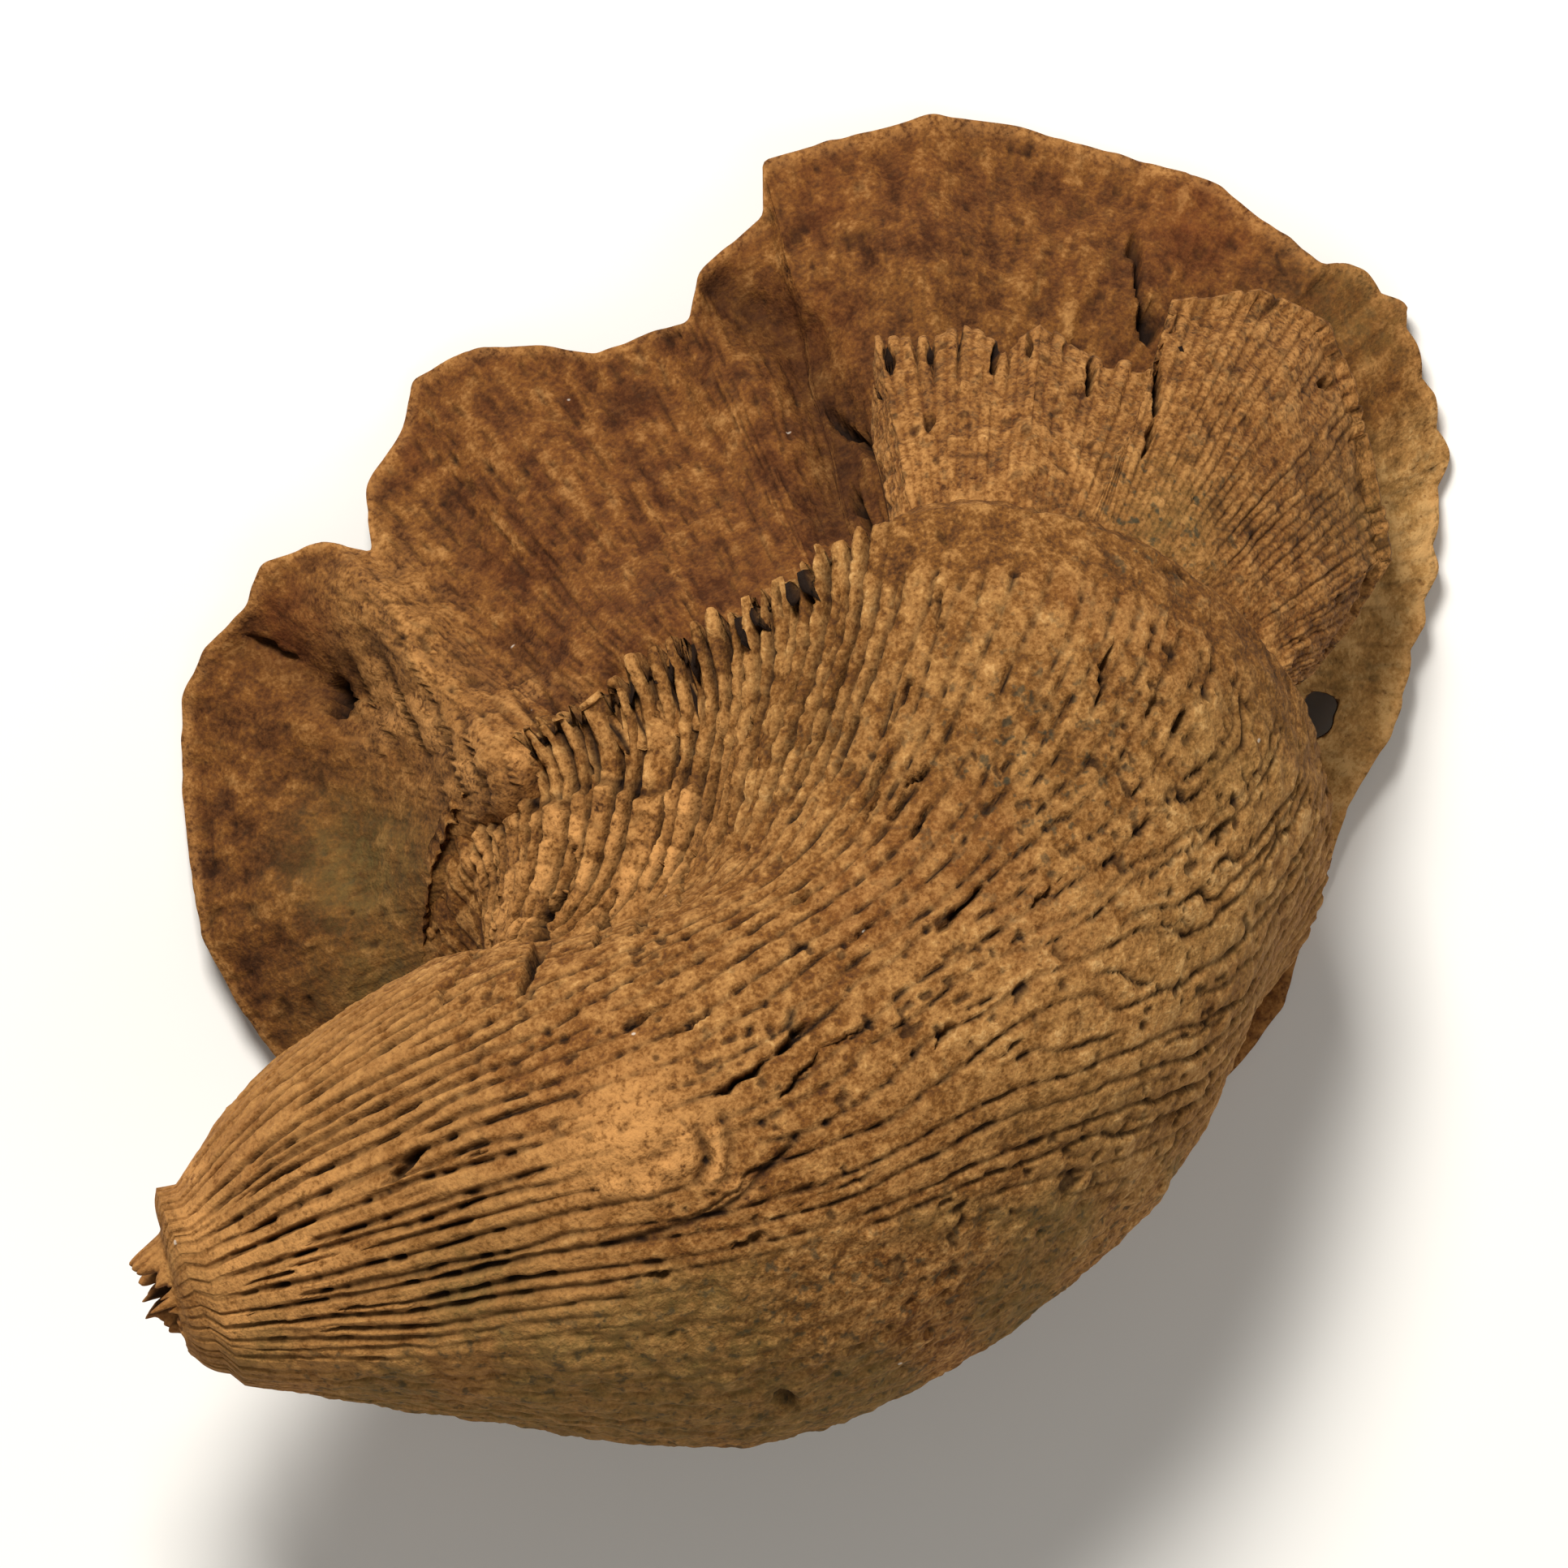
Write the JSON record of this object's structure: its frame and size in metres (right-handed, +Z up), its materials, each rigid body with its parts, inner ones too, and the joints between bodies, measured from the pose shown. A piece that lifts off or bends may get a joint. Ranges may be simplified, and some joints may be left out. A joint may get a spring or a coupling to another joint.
{
  "type": "horn coral fossil",
  "caption": "Stubby curved horn coral fossil lying cup down: ribbed horn with a flared lip, a broken ledge and a thin lobed flange round a hollow cup.",
  "frame": {"origin": "middle of the fossil's footprint, on the surface that its rim lies on", "axes": "+X along the fossil from its pointed root to the far lobe of the cup, +Y towards the flank with the free lip and the folded flange, +Z up, with the cup's hollow facing down"},
  "size_m": [0.0584, 0.0416, 0.0284],
  "materials": {
    "fossil_coral": "dull, gritty, ochre-brown calcite with dark grooves and green-grey stains"
  },
  "bodies": {
    "root": {"horn_coral": "fossil_coral"}
  },
  "joints": []
}
